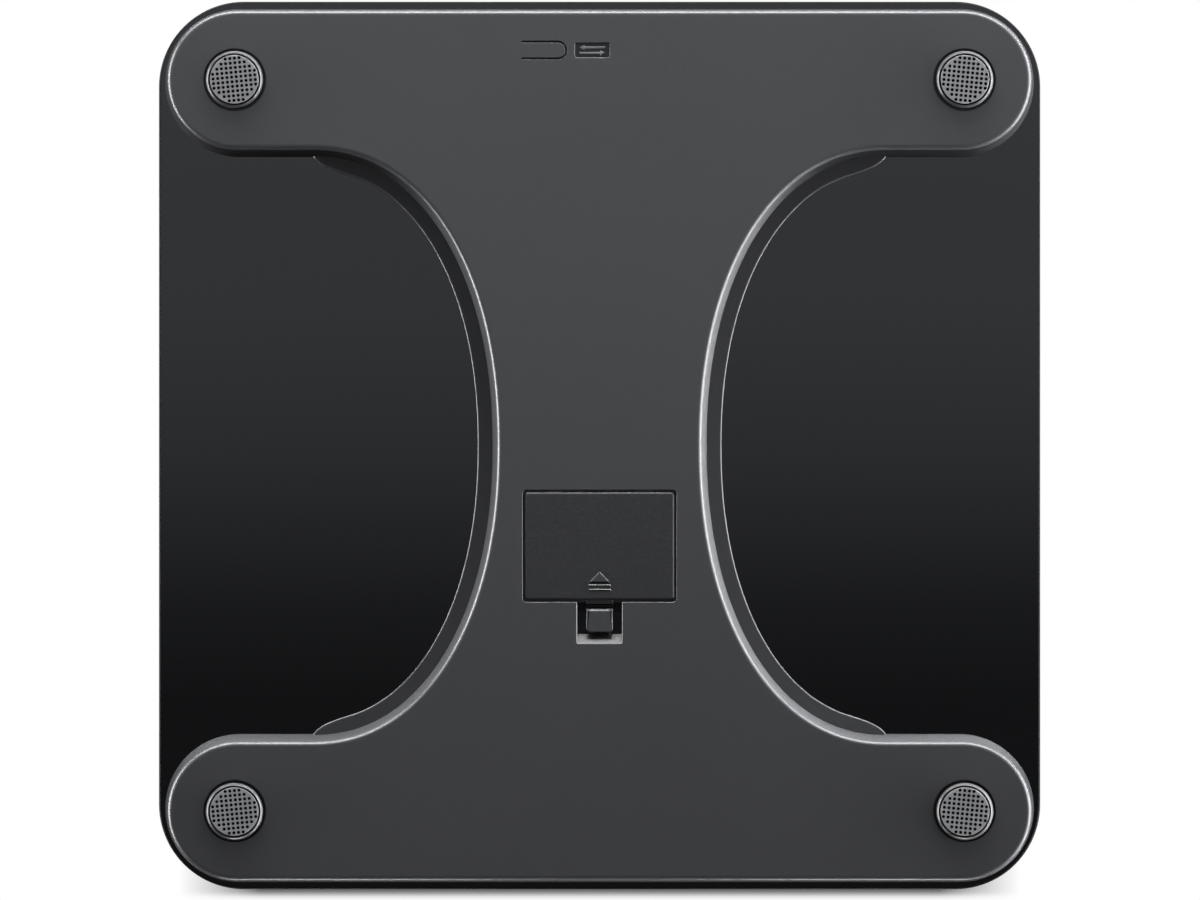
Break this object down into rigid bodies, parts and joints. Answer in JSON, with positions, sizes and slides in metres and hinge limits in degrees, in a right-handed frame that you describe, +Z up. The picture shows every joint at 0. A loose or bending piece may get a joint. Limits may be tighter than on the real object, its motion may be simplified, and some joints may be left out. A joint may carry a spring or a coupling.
{
  "type": "digital bathroom scale",
  "caption": "Square digital bathroom scale: black glass platform bonded to a dark grey casing with round weighing feet, a latched battery cover, a display and a unit button.",
  "frame": {"origin": "centre of the rectangle round the platform, on the plane the feet stand on", "axes": "+Z up through the glass platform, +Y towards the display edge (the toe side), +X to the right of a person standing on it"},
  "size_m": [0.28, 0.282, 0.025],
  "materials": {
    "black_glass": "polished, back-printed black tempered glass",
    "dark_casing": "fine spark-eroded texture, dark grey ABS",
    "dark_fitting": "satin black ABS",
    "bonding_foam": "black foam tape",
    "foot_rubber": "grey rubber with a grid of small pits",
    "pale_plastic": "natural nylon and white plastic",
    "spring_steel": "nickel-plated spring steel",
    "board": "green solder mask",
    "chip_black": "moulded epoxy",
    "display_glass": "grey-green liquid crystal glass",
    "cell_sleeve": "plain printed sleeve",
    "lead_red": "PVC insulation",
    "lead_black": "PVC insulation",
    "lead_white": "PVC insulation",
    "gauge_foil": "amber gauge foil"
  },
  "bodies": {
    "platform": {"glass_platform": "black_glass", "bonding_tape": "bonding_foam", "casing_shell": "dark_casing", "unit_badge": "dark_fitting", "thrust_post_toe_left": "pale_plastic", "sensor_lead_toe_left": "lead_white", "thrust_post_toe_right": "pale_plastic", "sensor_lead_toe_right": "lead_white", "thrust_post_heel_left": "pale_plastic", "sensor_lead_heel_left": "lead_white", "thrust_post_heel_right": "pale_plastic", "sensor_lead_heel_right": "lead_white", "battery_cell_1": "cell_sleeve", "battery_cell_2": "cell_sleeve", "battery_cell_3": "cell_sleeve", "contact_plus": "spring_steel", "contact_minus": "spring_steel", "contact_link_left": "spring_steel", "contact_link_right": "spring_steel", "battery_lead_plus": "lead_red", "battery_lead_minus": "lead_black", "circuit_board": "board", "board_screw_1": "spring_steel", "board_screw_2": "spring_steel", "board_screw_3": "spring_steel", "board_screw_4": "spring_steel", "switch_body": "chip_black", "display_panel": "display_glass", "display_frame": "pale_plastic", "display_backlight": "pale_plastic", "controller_chip": "chip_black", "storage_capacitor": "chip_black", "lead_header_left": "pale_plastic", "lead_header_right": "pale_plastic"},
    "cover": {"battery_cover": "dark_casing"},
    "latch": {"cover_latch": "dark_casing"},
    "button": {"unit_button": "dark_casing"},
    "plunger": {"switch_plunger": "pale_plastic"},
    "foot_toe_left": {"foot_housing_toe_left": "dark_fitting", "foot_pad_toe_left": "foot_rubber", "load_cell_toe_left": "spring_steel", "strain_gauge_toe_left": "gauge_foil"},
    "foot_toe_right": {"foot_housing_toe_right": "dark_fitting", "foot_pad_toe_right": "foot_rubber", "load_cell_toe_right": "spring_steel", "strain_gauge_toe_right": "gauge_foil"},
    "foot_heel_left": {"foot_housing_heel_left": "dark_fitting", "foot_pad_heel_left": "foot_rubber", "load_cell_heel_left": "spring_steel", "strain_gauge_heel_left": "gauge_foil"},
    "foot_heel_right": {"foot_housing_heel_right": "dark_fitting", "foot_pad_heel_right": "foot_rubber", "load_cell_heel_right": "spring_steel", "strain_gauge_heel_right": "gauge_foil"}
  },
  "joints": [
    {"name": "battery_cover_swing", "type": "hinge", "parent": "platform", "child": "cover", "pos_m": [0, -0.0143, 0.00345], "axis": [1, 0, 0], "range_deg": [0, 95]},
    {"name": "cover_latch_flex", "type": "hinge", "parent": "cover", "child": "latch", "pos_m": [0, -0.04965, 0.01115], "axis": [1, 0, 0], "range_deg": [0, 5], "stiffness_Nm_per_rad": 0.08},
    {"name": "unit_button_press", "type": "hinge", "parent": "platform", "child": "button", "pos_m": [0.0246, 0.1248, 0.0042], "axis": [0, 1, 0], "range_deg": [0, 2.4], "stiffness_Nm_per_rad": 0.25},
    {"name": "switch_plunger_travel", "type": "slide", "parent": "platform", "child": "plunger", "axis": [0, 0, 1], "range_m": [0, 0.00095]},
    {"name": "foot_toe_left_travel", "type": "slide", "parent": "platform", "child": "foot_toe_left", "axis": [0, 0, 1], "range_m": [0, 0.0006]},
    {"name": "foot_toe_right_travel", "type": "slide", "parent": "platform", "child": "foot_toe_right", "axis": [0, 0, 1], "range_m": [0, 0.0006]},
    {"name": "foot_heel_left_travel", "type": "slide", "parent": "platform", "child": "foot_heel_left", "axis": [0, 0, 1], "range_m": [0, 0.0006]},
    {"name": "foot_heel_right_travel", "type": "slide", "parent": "platform", "child": "foot_heel_right", "axis": [0, 0, 1], "range_m": [0, 0.0006]}
  ],
  "couplings": [
    {"joint": "switch_plunger_travel", "follows": "unit_button_press", "m_per_rad": 0.011}
  ]
}
